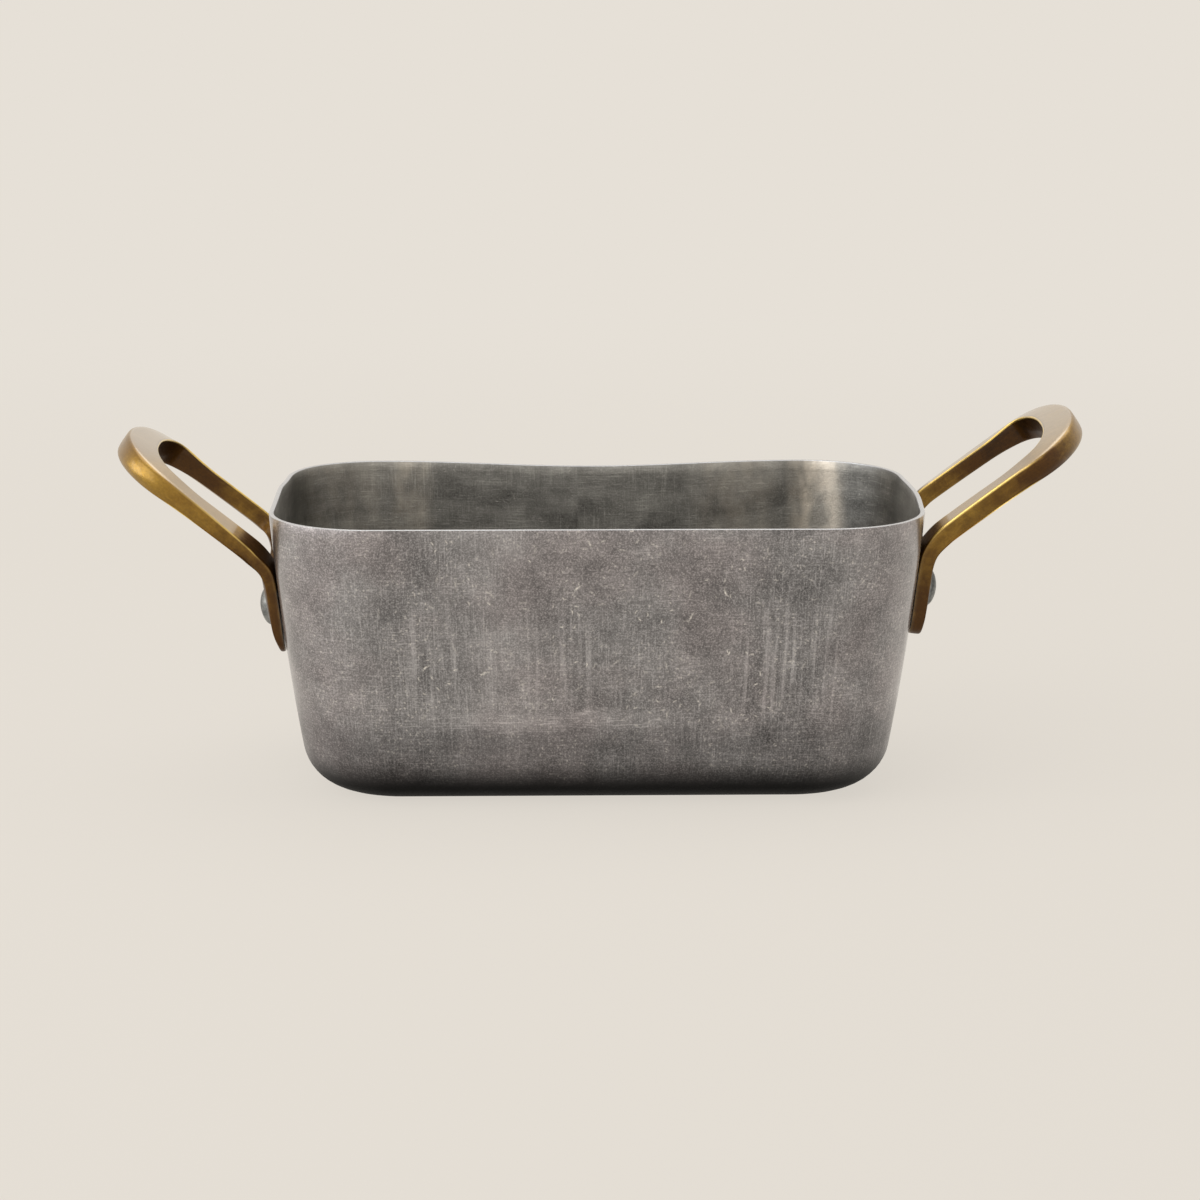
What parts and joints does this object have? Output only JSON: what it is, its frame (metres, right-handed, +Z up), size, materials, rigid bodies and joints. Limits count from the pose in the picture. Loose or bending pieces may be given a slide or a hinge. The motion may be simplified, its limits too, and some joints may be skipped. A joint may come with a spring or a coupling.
{
  "type": "serving pan",
  "caption": "Small rectangular steel serving pan with rounded corners and flared walls, and a cast brass loop handle riveted to each end.",
  "frame": {"origin": "middle of the flat underside of the base", "axes": "+X along the length towards the right handle, +Y towards the rear wall, +Z up"},
  "size_m": [0.2176, 0.09, 0.0828],
  "materials": {
    "antique_steel": "dull tumbled grey steel with fine scratches and a bright worn rim",
    "antique_brass": "aged golden brass, browned on the inner faces and bright on the worn edges",
    "rivet_steel": "plain steel, softly polished"
  },
  "bodies": {
    "root": {"pan_body": "antique_steel", "left_handle": "antique_brass", "right_handle": "antique_brass", "rivet_left_front": "rivet_steel", "rivet_left_rear": "rivet_steel", "rivet_right_front": "rivet_steel", "rivet_right_rear": "rivet_steel"}
  },
  "joints": []
}
